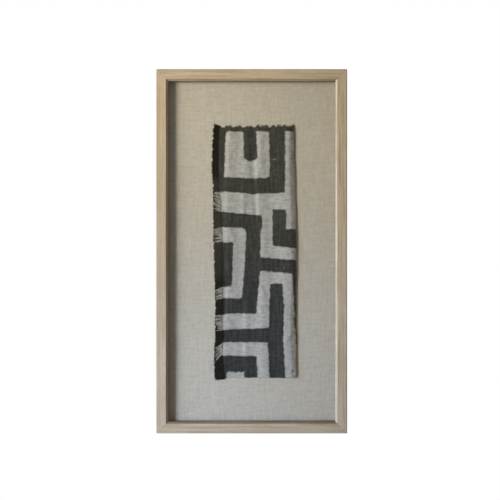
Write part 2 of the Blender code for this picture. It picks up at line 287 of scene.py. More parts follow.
def along_line(x, z, line):
    """How far a place is along a charted line, how far beside it, and the line's length."""
    run_x, run_z = line["to_x"] - line["from_x"], line["to_z"] - line["from_z"]
    off_x, off_z = x - line["from_x"], z - line["from_z"]
    length = math.hypot(run_x, run_z)
    return (off_x * run_x + off_z * run_z) / length, (off_z * run_x - off_x * run_z) / length, length


def crease_lift(x, z):
    """A ridge is full between two shares of its line. It falls off as a bell does beside that
    stretch and past its two ends. A ripple is a sine that runs askew over the cloth."""
    lift = np.zeros(np.broadcast(x, z).shape)
    for crease in CREASES:
        along, beside, length = along_line(x, z, crease)
        beyond = along - np.clip(along, CREASE_FULL[0] * length, CREASE_FULL[1] * length)
        bell = np.exp(-((beside / crease["width"]) ** 2) - (beyond / (CREASE_FADE * length)) ** 2)
        lift += crease["height"] * bell
    for ripple in RIPPLES:
        wave = TURN * (x / ripple["across"] + z / ripple["along"]) + ripple["phase"]
        lift += ripple["height"] * np.sin(wave)
    return lift


linen_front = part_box("linen_mount")[0].y / MM


def cloth_back(x, z):
    """The y of the cloth's back, in millimetres, never nearer to the linen than its clearance."""
    above = (fold_lift(x, z) + crease_lift(x, z) - LINEN_CLEARANCE) / TOUCH_SOFTNESS
    return linen_front - LINEN_CLEARANCE - np.logaddexp(0, above) * TOUCH_SOFTNESS


print("the cloth's back stands", round(float(linen_front - cloth_back(97.0, 0.0)), 1),
      "mm off the linen along the selvedge fold")

# %% [markdown]
# ## The painted bars
#
# The bars are painted freehand, with a wide tool and straight strokes. So the pattern is charted
# here as strokes, in millimetres: where each starts and ends, how wide it is at both ends, how round
# its corners are, and how softly its paint runs into the strokes before it.
#
# Each point of the cloth then gets its signed distance to the painted area, nought on the edge and
# below nought inside. Such a distance changes evenly, so a coarse grid of points holds a sharp
# edge, which the material can still roughen yarn by yarn.

# %% Strokes, in millimetres from the frame's middle
STROKES = named(LINE_COLUMNS + ("start_width", "end_width", "corner", "run"), (
    (-125, 331, 125, 331, 29, 29, 2, 1),
    (-96, 338, -98, 158, 52.5, 41.5, 3, 1),
    (-7.5, 330, -4.3, 239.5, 32, 37, 13, 1),
    (65, 330, 66.5, 157, 43, 39.5, 5, 3),
    (-125, 180, -5, 172.2, 36.5, 39.5, 3, 4),
    (-8, 171, 86, 176.2, 41, 42, 4, 2),
    (-125, 86.8, 23, 77, 42, 35, 6, 2),
    (3.5, 84, 0.2, -46, 38, 41.5, 5, 14),
    (1.3, -30, -11, -163, 42, 40, 3, 2),
    (-125, -147.7, 8, -142.4, 46, 36, 3, 6),
    (-85.5, 24, -87, -93, 69.5, 65.5, 6, 2),
    (71, 110, 71.5, 16, 36.5, 35.5, 4, 2),
    (60, 36.3, 125, 32.5, 44.5, 51.5, 4, 3),
    (8, -32.5, 125, -42.5, 35.5, 35, 3, 5),
    (115, -45, 122, -246, 19, 13, 2, 6),
    (118, -172, 118, -204, 15, 13, 6, 6),
    (63.3, -86, 63.8, -158, 33, 38, 3, 2),
    (64.8, -140, 61.8, -250, 40, 38, 2, 2),
    (60.8, -230, 67.3, -350, 41.5, 43, 2, 2),
    (-125, -225.3, 58, -221.2, 30, 38, 3, 3),
    (-125, -296.8, 11, -298.1, 44.8, 41.8, 3, 2),
    (-5.5, -300, -4.5, -350, 35.5, 36, 2, 2),
    (-94, -300, -94, -360, 51, 53, 3, 3),
))
FAR_OFF = 1000.0


def stroke_distance(x, z, stroke):
    """Distance to a box that lies along the stroke and tapers with it, less its round corner."""
    along, beside, length = along_line(x, z, stroke)
    share = np.clip(along / length, 0, 1)
    half = (stroke["start_width"] * (1 - share) + stroke["end_width"] * share) / 2
    past_end = np.abs(along - length / 2) - length / 2 + stroke["corner"]
    past_side = np.abs(beside) - half + stroke["corner"]
    outside = np.hypot(np.maximum(past_end, 0), np.maximum(past_side, 0))
    return outside + np.minimum(np.maximum(past_end, past_side), 0) - stroke["corner"]


def paint_distance(x, z):
    """Signed distance to all the strokes. Where two meet, the smaller of their distances is eased
    into the other over the later stroke's run, which rounds the inner corner between them."""
    nearest = np.full(np.broadcast(x, z).shape, FAR_OFF)
    for stroke in STROKES:
        this, run = stroke_distance(x, z, stroke), stroke["run"]
        mix = np.clip(0.5 + 0.5 * (nearest - this) / run, 0, 1)
        nearest = nearest * (1 - mix) + this * mix - run * mix * (1 - mix)
    return nearest


test_x, test_z = np.meshgrid(np.linspace(-76, 114, 191), np.linspace(CLOTH_BOTTOM, CLOTH_TOP, 331))
print("painted share of the cloth:", round(float((paint_distance(test_x, test_z) < 0).mean()), 2))

# %% [markdown]
# The frayed edge has drunk more mud than the cloth. It is near black at the top and at the foot,
# brown-grey between, and from there the black runs a little way onto the cloth's bars. Each row
# holds a height, how strongly the edge is soaked there, and how many millimetres the black reaches
# past the sheet's edge.

# %% Where the edge is soaked
SOAK = (
    (334, 1.00, 2.4),
    (200, 1.00, 2.4),
    (184, 0.30, 1),
    (60, 0.10, 1),
    (-20, 0.25, 1),
    (-60, 0.40, 2),
    (-80, 0.95, 4),
    (-175, 0.95, 4),
    (-205, 1.00, 2),
    (-245, 1.00, 2),
    (-268, 0.90, 2),
    (-300, 1.00, 2),
    (-338, 1.00, 3),
)
SOAK_SHARPNESS = 6


def soak_at(x, z):
    """1 where the fibre is soaked black, 0 where it is as the cloth: it fades past its reach."""
    heights, strength, reach = np.array(SOAK)[::-1].T
    inside = (x - outline_at(z, "left_edge")) / np.interp(z, heights, reach)
    return np.interp(z, heights, strength) * fade(SOAK_SHARPNESS * (inside - 1))


soaked_down = [round(float(soak_at(-78.0, z)), 2) for z in (300.0, 100.0, -100.0, -320.0)]
print("soak just inside the left edge, top to bottom:", soaked_down)

# %% [markdown]
# ## Node helpers
#
# Materials are graphs of small nodes. A few helpers keep them readable. One adds a node and feeds
# its sockets by name or number. The next ones do arithmetic, mix colours and make noise, and take
# the tree from the outputs that they are given.

# %% Adding nodes, arithmetic and colour
def feed(sockets, values):
    """Set each named or numbered socket to a value, or link another node's output to it."""
    for key, value in values.items():
        if isinstance(value, bpy.types.NodeSocket):
            value.id_data.links.new(value, sockets[key])
        else:
            sockets[key].default_value = value


def add(tree, kind, inputs=None, **settings):
    """A new shader node of a kind, with its settings and what its inputs are fed."""
    made = tree.nodes.new("ShaderNode" + kind)
    for field, value in settings.items():
        setattr(made, field, value)
    feed(made.inputs, inputs or {})
    return made


def tree_of(*values):
    """The node tree of the first of the values that is a node's output."""
    return next(value.id_data for value in values if isinstance(value, bpy.types.NodeSocket))


def calc(operation, *values):
    """The result of a Math node whose values are numbers or other nodes' outputs."""
    return add(tree_of(*values), "Math", dict(enumerate(values)), operation=operation).outputs[0]


def times(first, second):
    """The product of two values."""
    return calc("MULTIPLY", first, second)


def weigh(*pairs):
    """A sum of values, each given as a value and its weight."""
    total = 0.0
    for value, weight in pairs:
        total = calc("MULTIPLY_ADD", value, weight, total)
    return total


def remap(value, low, high, to_low=0.0, to_high=1.0):
    """A value smoothly remapped from low..high to to_low..to_high, and held outside it."""
    inputs = {"Value": value, "From Min": low, "From Max": high, "To Min": to_low, "To Max": to_high}
    return add(tree_of(value), "MapRange", inputs, interpolation_type="SMOOTHSTEP").outputs["Result"]


def split(place):
    """The three coordinates of a place."""
    return add(tree_of(place), "SeparateXYZ", {0: place}).outputs


def join(x, y=0.0, z=0.0):
    """A place from three coordinates."""
    return add(tree_of(x, y, z), "CombineXYZ", {0: x, 1: y, 2: z}).outputs[0]


def noise(place, scale, stretch=(1.0, 1.0, 1.0), detail=2.0, offset=(0.0, 0.0, 0.0)):
    """Smooth noise of place, which is first stretched and moved."""
    tree = tree_of(place)
    moved = add(tree, "Mapping", {"Vector": place, "Location": offset, "Scale": stretch}).outputs[0]
    return add(tree, "TexNoise", {"Vector": moved, "Scale": scale, "Detail": detail}).outputs[0]


def blend(share, first, second, kind="MIX"):
    """Two colours mixed, or the first multiplied by the second, by a share."""
    inputs = {0: share, 6: first, 7: second}
    return add(tree_of(share, first, second), "Mix", inputs, data_type="RGBA", blend_type=kind).outputs[2]


def grey(level):
    """A colour of one level."""
    return (level, level, level, 1.0)


def darken(colour, level):
    """A colour times a level that changes over the surface."""
    shade = add(tree_of(level), "CombineColor", {0: level, 1: level, 2: level}).outputs[0]
    return blend(1.0, colour, shade, "MULTIPLY")


print("a colour of one level:", grey(0.5))

# %% [markdown]
# The next helpers open a group with named sockets, place it in a material, read what a mesh keeps
# for its points, and feed a material's shader. A group puts out masks and heights only. The
# Principled shader itself stays in the material, and a value that is the same all over is set on
# its own socket.

# %% Groups, places and shaders
def new_group(name, inputs, outputs):
    """A node group. inputs gives each number's default, or None for a place, and outputs names the
    numbers that it puts out."""
    tree = bpy.data.node_groups.new(name, "ShaderNodeTree")
    for socket, default in inputs.items():
        kind = "NodeSocketVector" if default is None else "NodeSocketFloat"
        made = tree.interface.new_socket(socket, in_out="INPUT", socket_type=kind)
        if default is not None:
            made.default_value = default
    for socket in outputs:
        tree.interface.new_socket(socket, in_out="OUTPUT", socket_type="NodeSocketFloat")
    return tree, tree.nodes.new("NodeGroupInput").outputs, tree.nodes.new("NodeGroupOutput").inputs


def use_group(group, inputs):
    """A group placed where its inputs come from, with its own values."""
    return add(tree_of(*inputs.values()), "Group", inputs, node_tree=group).outputs


def new_material(name):
    """A new material, its tree and its Principled shader."""
    made = bpy.data.materials.new(name)
    made.use_nodes = True
    return made, made.node_tree, made.node_tree.nodes["Principled BSDF"]


def millimetres(tree, order="XYZ"):
    """Object coordinates in millimetres, with the axes put in another order."""
    place = add(tree, "TexCoord").outputs["Object"]
    scaled = add(tree, "VectorMath", {0: place, "Scale": 1 / MM}, operation="SCALE").outputs[0]
    parts = split(scaled)
    return join(*[parts["XYZ".index(axis)] for axis in order])


def stored(tree, name):
    """A number that store() kept for each point."""
    return add(tree, "Attribute", attribute_name=name).outputs["Fac"]


def surface(shader, colour, roughness, relief=None, strength=0.5, depth=0.25, specular=0.5, sunk=False):
    """Feed a shader its colour, roughness and gloss, and its relief, which is depth millimetres
    high for each unit of its value, or that deep where it is sunk."""
    feed(shader.inputs, {"Base Color": colour, "Roughness": roughness, "Specular IOR Level": specular})
    if relief is not None:
        inputs = {"Height": relief, "Strength": strength, "Distance": depth * MM}
        bump = add(shader.id_data, "Bump", inputs, invert=sunk)
        feed(shader.inputs, {"Normal": bump.outputs[0]})


print("materials count in millimetres, so Object coordinates are multiplied by", 1 / MM)

# %% [markdown]
# ## A plain weave
#
# In a plain weave each crosswise yarn goes over one lengthwise yarn and under the next. With u and
# v counting the yarns, the lengthwise yarn's height is half of |sin(pi u)| plus half of
# sin(pi u) sin(pi v), the crosswise one's is half of |sin(pi v)| minus the same product, and the
# higher of the two is what shows. One group serves the cotton, which is coarse, and the linen,
# which is fine. It also gives each yarn a tone of its own, because handspun yarn is never even.

# %% The weave group
SWAY_SCALE = 0.07
TONE_SCALE, TONE_ALONG = 0.73, 0.05


def build_weave():
    """The group plain_weave: place and yarn pitches in millimetres to height, gap and tone."""
    inputs = {"Place": None, "Across": 1.0, "Along": 1.0, "Wander": 0.5}
    tree, given, put = new_group("plain_weave", inputs, ("Height", "Gap", "Tone"))
    sway = {"Vector": given["Place"], "Scale": SWAY_SCALE, "Detail": 2.0}
    sway = add(tree, "TexNoise", sway).outputs["Color"]
    sway = add(tree, "VectorMath", {0: sway, 1: (0.5, 0.5, 0.5)}, operation="SUBTRACT").outputs[0]
    sway = add(tree, "VectorMath", {0: sway, "Scale": given["Wander"]}, operation="SCALE").outputs[0]
    place = add(tree, "VectorMath", {0: given["Place"], 1: sway}, operation="ADD").outputs[0]
    across, along, _ = split(place)
    u = calc("DIVIDE", across, given["Across"])
    v = calc("DIVIDE", along, given["Along"])
    sine_u = calc("SINE", times(u, math.pi))
    sine_v = calc("SINE", times(v, math.pi))
    both = times(sine_u, sine_v)
    warp = times(calc("ADD", calc("ABSOLUTE", sine_u), both), 0.5)
    weft = times(calc("SUBTRACT", calc("ABSOLUTE", sine_v), both), 0.5)
    height = calc("MAXIMUM", warp, weft)
    warp_tone = noise(join(calc("FLOOR", u), times(v, TONE_ALONG)), TONE_SCALE, detail=1.0)
    weft_tone = noise(join(times(u, TONE_ALONG), calc("FLOOR", v), 9.0), TONE_SCALE, detail=1.0)
    on_top = calc("GREATER_THAN", warp, weft)
    tone = add(tree, "Mix", {0: on_top, 2: weft_tone, 3: warp_tone}, data_type="FLOAT").outputs[0]
    feed(put, {"Height": height, "Gap": remap(height, 0.12, 0.5, 1.0, 0.0), "Tone": tone})
    return tree


weave = build_weave()
print("plain_weave has", len(weave.nodes), "nodes")

# %% [markdown]
# ## Paint that follows the yarn
#
# Fermented mud soaks along the yarns, so the edge of a bar wavers slowly, is ragged from yarn to
# yarn, and has a thin brown rim where the dye thins out. The group below turns the stored distance
# into those two masks. The cloth and its frayed ends share it.

# %% The paint group
WAVER, RAGGED = 6.5, 3.4


def build_paint():
    """The group mud_paint: distance in millimetres to the masks Dark and Rim."""
    tree, given, put = new_group("mud_paint", {"Place": None, "Distance": 0.0}, ("Dark", "Rim"))
    slow = calc("SUBTRACT", noise(given["Place"], 0.075, detail=1.0), 0.5)
    quick = calc("SUBTRACT", noise(given["Place"], 0.45), 0.5)
    edge = weigh((given["Distance"], 1.0), (slow, WAVER), (quick, RAGGED))
    rim = times(remap(edge, -1.2, 0.3), remap(edge, 0.4, 3.4, 1.0, 0.0))
    feed(put, {"Dark": remap(edge, -1.3, 1.0, 1.0, 0.0), "Rim": rim})
    return tree


paint = build_paint()
print("mud_paint has", len(paint.nodes), "nodes")

# %% [markdown]
# ## The cotton
#
# The pale ground is raw cotton that has greyed a little, more so in slow clouds, with long streaks
# that run with the yarns in both directions. The dark is charcoal rather than black, with a painted
# tint of the light on it: olive under the warm light near the top, darker and bluer under the cool
# light towards the foot. It is nearly black where the frayed edge is soaked. Painted shade darkens
# the roll along the selvedge, most at the top, where it turns away from the light, and small pale
# dots show where the weft turns. A few marks are charted: specks, a snag and a bare place at the
# lower right corner.

# %% Colours of the cotton, deep before light, and its marks
PALE_DEEP = (0.370, 0.360, 0.328, 1.0)
PALE_LIGHT = (0.518, 0.516, 0.488, 1.0)
RIM_BROWN = (0.200, 0.165, 0.120, 1.0)
# A darker tone for the painted shade on the selvedge's roll and for the soaked edge.
SOIL_AND_SHADE = (0.680, 0.640, 0.580, 1.0)
STITCH = (0.680, 0.680, 0.660, 1.0)
# Painted tints of the light on the dark paint: olive under the warm lamps, darker and bluer under the cool
# ones.
MUD_WARM_LIT = ((0.0290, 0.0285, 0.0230, 1.0), (0.0710, 0.0700, 0.0570, 1.0))
MUD_COOL_LIT = ((0.0210, 0.0223, 0.0230, 1.0), (0.0530, 0.0565, 0.0565, 1.0))
FELT = ((0.0050, 0.0040, 0.0022, 1.0), (0.0160, 0.0130, 0.0070, 1.0))
MARKS = named(("x", "z", "wide", "high", "strength", "colour"), (
    (106, -3, 4.5, 4.0, 0.55, (0.160, 0.120, 0.080, 1.0)),
    (56, 241.5, 4.5, 1.0, 0.40, PALE_LIGHT),
    (61, 243.5, 4.0, 1.0, 0.35, PALE_LIGHT),
    (106, -316, 4.0, 5.0, 0.60, (0.160, 0.150, 0.130, 1.0)),
    (110.5, -322, 1.9, 4.2, 1.00, (0.800, 0.800, 0.790, 1.0)),
    (108, -240, 2.0, 4.5, 0.45, (0.620, 0.620, 0.610, 1.0)),
    (109, -268, 1.8, 3.0, 0.45, (0.620, 0.620, 0.610, 1.0)),
    (84, -44, 2.2, 5.0, 0.35, (0.220, 0.205, 0.180, 1.0)),
    (-12, 205, 1.6, 5.0, 0.35, PALE_LIGHT),
))


def with_marks(colour, across, height):
    """A mark is a soft oval: (distance across / wide)^2 + (distance up / high)^2 fades it out."""
    for mark in MARKS:
        beside = calc("DIVIDE", calc("SUBTRACT", across, mark["x"]), mark["wide"])
        above = calc("DIVIDE", calc("SUBTRACT", height, mark["z"]), mark["high"])
        away = calc("ADD", calc("POWER", beside, 2.0), calc("POWER", above, 2.0))
        colour = blend(remap(away, 0.3, 1.3, mark["strength"], 0.0), colour, mark["colour"])
    return colour


print("marks on the cloth:", len(MARKS))

# %% [markdown]
# The material lays its colours over each other: the pale ground, the brown rim, then one darker
# tone for both the painted shade on the selvedge's roll and the soaked edge, then the dark paint,
# the turns of the weft along the selvedge, and the marks. Painted shade in the hollows of the weave
# darkens all of it, and its crowns and the crinkles give the relief.

# %% Cotton, bare and painted
def build_cotton():
    """The cloth's material, on its own map of millimetres and its stored paint and soak."""
    made, tree, shader = new_material("cotton_painted")
    place = add(tree, "UVMap", uv_map="cloth_mm").outputs[0]
    across, height, _ = split(place)
    soaked = stored(tree, "soak")
    to_selvedge = stored(tree, "to_selvedge")
    woven = use_group(weave, {"Place": place, "Across": 1.35, "Along": 1.55, "Wander": 1.6})
    masks = use_group(paint, {"Place": place, "Distance": stored(tree, "paint")})
    down = noise(place, 0.17, stretch=(1.0, 0.10, 1.0), detail=3.0)
    over = noise(place, 0.26, stretch=(0.12, 1.0, 1.0), detail=3.0, offset=(40.0, 0.0, 0.0))
    blotch = noise(place, 0.10, detail=3.0, offset=(9.0, 50.0, 0.0))
    cloud = noise(place, 0.022, offset=(0.0, 300.0, 0.0))

    tone = weigh((over, 0.34), (blotch, 0.38), (down, 0.08), (woven["Tone"], 0.20))
    pale = blend(remap(tone, 0.38, 0.62), PALE_DEEP, PALE_LIGHT)
    pale = blend(remap(cloud, 0.45, 0.75, 0.0, 0.30), pale, PALE_DEEP)
    pale = blend(times(masks["Rim"], 0.45), pale, RIM_BROWN)
    # Painted shade on the selvedge's roll, where it turns away from the light, most at the top.
    selvedge_shade = times(remap(to_selvedge, 11.0, 2.0), remap(height, 120.0, 230.0, 0.25, 1.0))
    pale = blend(calc("MAXIMUM", selvedge_shade, soaked), pale, SOIL_AND_SHADE, "MULTIPLY")

    tone = weigh((down, 0.36), (over, 0.20), (blotch, 0.24), (woven["Tone"], 0.20))
    tone = remap(tone, 0.36, 0.64)
    # Painted tint of the light: olive near the top, darker and bluer towards the foot.
    mud = blend(remap(height, -220.0, 220.0, 1.0, 0.0), blend(tone, *MUD_WARM_LIT), blend(tone, *MUD_COOL_LIT))
    mud = blend(soaked, mud, blend(tone, *FELT))
    colour = blend(masks["Dark"], pale, mud)
    turns = times(remap(to_selvedge, 3.0, 1.6), remap(to_selvedge, 0.2, 0.8))
    dotted = remap(noise(place, 0.33, stretch=(0.0, 1.0, 0.0), detail=1.0), 0.54, 0.60, 0.0, 0.6)
    colour = with_marks(blend(times(turns, dotted), colour, STITCH), across, height)
    # Painted shade in the hollows between the yarns.
    colour = darken(colour, remap(woven["Gap"], 0.0, 1.0, 1.0, 0.62))

    crinkle = noise(place, 0.13, stretch=(0.45, 1.5, 1.0), detail=4.0, offset=(3.0, 8.0, 0.0))
    relief = weigh((woven["Height"], 1.0), (noise(place, 1.9, detail=3.0), 0.5), (crinkle, 6.0))
    roughness = remap(woven["Height"], 0.0, 1.0, 1.0, 0.86)
    surface(shader, colour, roughness, relief, strength=0.6, depth=0.45, specular=0.15)
    feed(shader.inputs, {"Sheen Weight": 0.06, "Sheen Roughness": 0.6})
    return made


cotton = build_cotton()
print(cotton.name, "has", len(cotton.node_tree.nodes), "nodes")

# %% [markdown]
# ## Weaving the sheet
#
# The sheet is one closed surface: a back grid, a front grid at the same places, and a rim between
# them. The two parameters are the row down the cloth and the share of the way across, so the grid
# follows the bowed edges. The selvedge is a little ragged, because the weft turns there, and so
# are the frayed left edge and the two ends.

# %% The sheet as a function of row and share
ROWS, COLUMNS = 300, 94
CLOTH_THICKNESS = 1.4
SELVEDGE_WAVES = ((0.35, 19.0), (0.22, 7.7), (0.5, 88.0))
FRAY_WAVES = ((0.7, 23.0), (0.6, 9.1), (0.5, 5.3))
END_WAVE, END_WAVE_LENGTH, END_ROWS_PAST = 0.3, 31, 320


def selvedge_at(z):
    """The outline's right edge with three small waves on it."""
    return outline_at(z, "selvedge") + sum(h * np.sin(TURN * z / length) for h, length in SELVEDGE_WAVES)


def closed_sheet(x, back, z, thickness):
    """Points and quads of a closed layer: its back as a grid, its front a thickness nearer to the
    viewer, turned round, and a rim between the two."""
    layers = [np.stack(np.broadcast_arrays(x, y, z), axis=2) for y in (back, back - thickness)]
    rows, columns = layers[0].shape[:2]
    count = rows * columns
    number = np.arange(count).reshape(rows, columns)
    rim = np.concatenate([number[0, :-1], number[:-1, -1], number[-1, :0:-1], number[:0:-1, 0]])
    after = np.roll(rim, -1)
    edge = np.stack([rim, rim + count, after + count, after], axis=1)
    grid = grid_quads(rows, columns)
    quads = np.concatenate([grid, grid[:, ::-1] + count, edge])
    return np.concatenate([layer.reshape(-1, 3) for layer in layers]), quads


def sheet():
    """Points, in millimetres, and quads of the whole sheet. x runs evenly from the frayed edge to
    the selvedge, z from the top down, and the rows near both ends wave a little."""
    z = np.linspace(CLOTH_TOP, CLOTH_BOTTOM, ROWS)[:, None]
    share = np.linspace(0, 1, COLUMNS)[None, :]
    fray = sum(h * np.sin(TURN * z / length + 1.0) for h, length in FRAY_WAVES)
    left, right = outline_at(z, "left_edge") + fray, selvedge_at(z)
    x = left + (right - left) * share
    near_end = np.abs(z - (CLOTH_TOP + CLOTH_BOTTOM) / 2) > END_ROWS_PAST
    z = z + END_WAVE * np.sin(TURN * x / END_WAVE_LENGTH) * near_end
    return closed_sheet(x, cloth_back(x, z), z, CLOTH_THICKNESS)


cloth_points, cloth_quads = sheet()
print("the sheet is a grid of", ROWS, "by", COLUMNS, "points, twice")

# %% [markdown]
# The material has to know where the paint is, where the edge is soaked and how far the selvedge
# lies. So each point keeps those three numbers, and each corner its place on a map in millimetres.
# The volume inside tells whether the faces look outwards: it is below nought if they don't.

# %% The piece and what its points keep
def enclosed(points, quads):
    """The volume inside closed quads, as a sum of the pyramids from the origin to each."""
    a, b, c, d = (points[quads[:, i]] for i in range(4))
    return ((a * np.cross(b, c)).sum() + (a * np.cross(c, d)).sum()) / 6


cloth = new_piece("cloth_sheet", cloth_points, cloth_quads, cotton)
cloth_x, _, cloth_z = cloth_points.T
store(cloth, "paint", paint_distance(cloth_x, cloth_z))
store(cloth, "soak", soak_at(cloth_x, cloth_z))
store(cloth, "to_selvedge", selvedge_at(cloth_z) - cloth_x)
store_map(cloth, "cloth_mm", cloth_points[cloth_quads.ravel()][:, [0, 2]])
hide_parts("mud_cloth")
print("it encloses", round(enclosed(cloth_points, cloth_quads) / 1000, 1), "cm3")

# %% [markdown]
# ## Yarns
#
# Where the weaving ends, the yarns are loose. A yarn is a tube: a profile, here a hexagon, carried
# along a path. All yarns of one edge are computed together, as an array of yarns by stations by
# corners. Each has its own map, round the yarn and along it, so that its twist can be shown.

# %% Many tubes at once
YARN_SIDES = 6
STATIONS = 8
END_QUADS = np.array([[0, 1, 2, 3], [0, 3, 4, 5]])


def unit(vectors):
    """Vectors of length one."""
    return vectors / np.linalg.norm(vectors, axis=-1, keepdims=True)


def tubes(paths, radii):
    """Points and quads of tubes along paths (yarns x stations x 3), in millimetres.

    A corner is centre + radius (cos t A + sin t B), with A and B square to the path. Walls join
    each ring to the next, and two quads close each end.
    """
    along = unit(np.gradient(paths, axis=1))
    side = unit(np.cross(along, [0.0, -1.0, 0.0]))
    turn = TURN * np.arange(YARN_SIDES)[:, None] / YARN_SIDES
    ring = side[:, :, None] * np.cos(turn) + np.cross(along, side)[:, :, None] * np.sin(turn)
    points = paths[:, :, None] + radii[:, :, None, None] * ring
    number = np.arange(points.size // 3).reshape(points.shape[:3])
    after = np.roll(number, -1, axis=2)
    walls = np.stack([number[:, :-1], after[:, :-1], after[:, 1:], number[:, 1:]], axis=-1)
    ends = number[:, 0][:, END_QUADS[:, ::-1]], number[:, -1][:, END_QUADS]
    return points.reshape(-1, 3), np.concatenate([part.reshape(-1, 4) for part in (walls, *ends)])


def yarn_map(paths):
    """The share of the way round and the millimetres along, for each corner of each quad. The
    quads that close the ends all lie at nought."""
    steps = np.linalg.norm(np.diff(paths, axis=1), axis=2)
    length = np.concatenate([np.zeros((len(paths), 1)), np.cumsum(steps, axis=1)], axis=1)
    place = np.stack(np.broadcast_arrays(np.arange(YARN_SIDES) / YARN_SIDES, length[:, :, None]), axis=-1)
    step = np.array([1 / YARN_SIDES, 0.0])
    walls = np.stack([place[:, :-1], place[:, :-1] + step, place[:, 1:] + step, place[:, 1:]], axis=3)
    return np.concatenate([walls.reshape(-1, 2), np.zeros((len(paths) * 2 * END_QUADS.size, 2))])


def yarn_piece(name, paths, radii, distance, soak, finish):
    """Yarns as one piece. distance gives each yarn's place in the paint and soak how soaked it is,
    as one number for a whole yarn or one for each of its stations."""
    points, quads = tubes(paths, radii)
    piece = new_piece(name, points, quads, finish)
    store(piece, "paint", np.repeat(distance, len(points) // distance.size))
    store(piece, "soak", np.repeat(soak, len(points) // soak.size))
    store_map(piece, "yarn_mm", yarn_map(paths))
    return piece


print("a yarn has", YARN_SIDES * STATIONS, "points")

# %% [markdown]
# ## Loose yarn and felted edge
#
# Most of the loose ends have drunk more mud than the cloth, so they are near black, with a brown
# cast. Those of the tufts are painted lighter, to make up for the shade that gathers among their
# yarns. The clean ones keep the cotton's pale tones, slightly yellowed. The yarn's own material
# shows two plies twisted round each other, with painted shade in the grooves between them. The
# matted strip that they grow from has fibres in every direction instead, and is worn pale beside
# the pale bands.

# %% Yarn and felt materials
BROWN = ((0.026, 0.022, 0.016, 1.0), (0.068, 0.061, 0.047, 1.0))
# Painted lighter, to make up for the shade among the tufts' yarns.
TUFT_LIGHTENED = ((0.052, 0.050, 0.040, 1.0), (0.120, 0.117, 0.095, 1.0))
WORN_GAP = (0.110, 0.098, 0.080, 1.0)
YELLOWED = (0.980, 0.960, 0.920, 1.0)
PLY_LENGTH = 1.7


def build_yarn(name, painted):
    """The material of loose yarns, on the map round and along each yarn. painted holds the deep
    and the light tone of those that are painted and not soaked."""
    made, tree, shader = new_material(name)
    place = millimetres(tree)
    around, along, _ = split(add(tree, "UVMap", uv_map="yarn_mm").outputs[0])
    masks = use_group(paint, {"Place": place, "Distance": stored(tree, "paint")})
    winding = calc("ADD", times(around, 2.0), calc("DIVIDE", along, PLY_LENGTH))
    ply = calc("ABSOLUTE", calc("SINE", times(winding, math.pi)))
    tone = remap(noise(place, 0.45), 0.35, 0.65)
    pale = blend(1.0, blend(tone, PALE_DEEP, PALE_LIGHT), YELLOWED, "MULTIPLY")
    dark = blend(stored(tree, "soak"), blend(tone, *painted), blend(tone, *FELT))
    # Painted shade in the grooves between the two plies.
    colour = darken(blend(masks["Dark"], pale, dark), remap(ply, 0.0, 0.5, 0.6, 1.0))
    relief = calc("ADD", ply, times(noise(place, 3.0, detail=3.0), 0.6))
    surface(shader, colour, remap(tone, 0.0, 1.0, 0.98, 0.88), relief, strength=0.6, specular=0.1)
    return made


def build_felt():
    """The material of the matted strips: dark fibre in brown tones, worn where it is bare."""
    made, tree, shader = new_material("cotton_felted")
    place = millimetres(tree)
    fibre = noise(place, 1.1, stretch=(0.35, 1.0, 1.4), detail=4.0)
    tone = remap(fibre, 0.35, 0.7)
    colour = blend(stored(tree, "soak"), blend(tone, *BROWN), blend(tone, *FELT))
    patchy = calc("SUBTRACT", noise(place, 0.3, detail=3.0), 0.5)
    worn = remap(weigh((stored(tree, "bare"), 1.0), (patchy, 0.9)), 0.25, 0.95, 0.0, 0.8)
    colour = blend(worn, colour, blend(tone, WORN_GAP, PALE_DEEP))
    roughness = remap(fibre, 0.3, 0.7, 1.0, 0.9)
    surface(shader, colour, roughness, fibre, strength=0.8, depth=0.6, specular=0.1)
    return made


yarn_finish = build_yarn("yarn_loose", BROWN)
tuft_finish = build_yarn("yarn_tufts", TUFT_LIGHTENED)
felt_finish = build_felt()
print("made", yarn_finish.name, tuft_finish.name, felt_finish.name)

# %% [markdown]
# ## The left edge
#
# Along the left edge the crosswise yarns end in the open. They are short and gather into small
# points about a finger's width apart. Under them lies a matted strip, which tapers to their ends.
# The share s runs from 0 at the sheet to 1 at the yarns' ends.

# %% The matted strip under the yarns
rng = np.random.default_rng(11)
LEFT_TOP, LEFT_BOTTOM = 333.0, -338.5
STRIP_ROWS, STRIP_COLUMNS = 400, 9
STRIP_THICKNESS = 1.1
STRIP_TUCK = 0.8
STRIP_SHORT = 1.2
SINKS = 0.5
POINT_SPACING = 9.5
POINT_REACH = 2.1
NOTCH, NOTCH_WIDEST = 2.8, 1.2
PAINT_INSIDE = 2.0
BARE_WITHIN = 3.0
BARE_ROOT, BARE_LENGTH = 1.15, 14.0


def point_places(low, high, spacing, scatter=0.33):
    """Where the yarns gather: places a spacing apart, each shifted by up to scatter times it."""
    count = int(round((high - low) / spacing))
    return np.sort(np.linspace(low, high, count) + rng.uniform(-scatter, scatter, count) * spacing)


def nearest(places, values):
    """For each value, the nearest of the sorted places."""
    after = np.clip(np.searchsorted(places, values), 1, len(places) - 1)
    closer = np.where(values - places[after - 1] < places[after] - values, after - 1, after)
    return places[closer]


left_points = point_places(LEFT_BOTTOM, LEFT_TOP, POINT_SPACING)


def ends_at(z):
    """Where the yarns end at height z: furthest out at each point, NOTCH less between two."""
    off = np.abs(z - nearest(left_points, z)) / (POINT_SPACING / 2)
    return outline_at(z, "yarn_ends") - POINT_REACH + NOTCH * np.minimum(off, NOTCH_WIDEST)


def sinking(x, z, s):
    """The y of a strip's back: it leaves the sheet's edge at x, z and sinks halfway to the linen."""
    resting = linen_front - LINEN_CLEARANCE
    return resting - (resting - cloth_back(x, z)) * (1 - SINKS * s)


